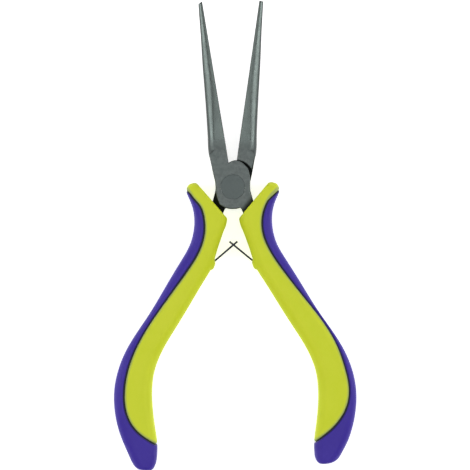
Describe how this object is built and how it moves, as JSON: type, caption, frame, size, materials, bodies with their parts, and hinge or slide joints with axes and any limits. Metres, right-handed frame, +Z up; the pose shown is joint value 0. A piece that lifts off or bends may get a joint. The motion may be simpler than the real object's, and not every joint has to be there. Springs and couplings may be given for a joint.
{
  "type": "needle nose pliers",
  "caption": "Long slender half-round jaws on a riveted lap joint, with curved two-colour sleeved handles sprung apart by a pair of interlocked leaf springs.",
  "frame": {"origin": "centre of the plan outline, on the surface the handles lie on, with the jaws as far open as the springs hold them", "axes": "+X across the handles, towards the handle of the half that carries the front cheek; +Y along the tool, towards the jaw tips; +Z up, along the pivot, out of the front cheek"},
  "size_m": [0.079, 0.153, 0.0125],
  "materials": {
    "jaw_steel": "dark satin, sand-blasted",
    "rivet_steel": "dark satin, ground flush",
    "spring_steel": "bright rolled",
    "core_plastic": "dark moulded",
    "shell_plastic": "fine moulded grain",
    "back_plastic": "soft, matte"
  },
  "bodies": {
    "front": {"front_half": "jaw_steel", "pivot_rivet": "rivet_steel", "right_core": "core_plastic", "right_shell": "shell_plastic", "right_back": "back_plastic", "right_leaf_spring": "spring_steel"},
    "rear": {"rear_half": "jaw_steel", "left_core": "core_plastic", "left_shell": "shell_plastic", "left_back": "back_plastic", "left_leaf_spring": "spring_steel"}
  },
  "joints": [
    {"name": "jaw_pivot", "type": "hinge", "parent": "front", "child": "rear", "pos_m": [0, 0.01575, 0.00625], "axis": [0, 0, 1], "range_deg": [0, 17.4], "stiffness_Nm_per_rad": 1.2, "deforming": ["right_leaf_spring", "left_leaf_spring"]}
  ]
}
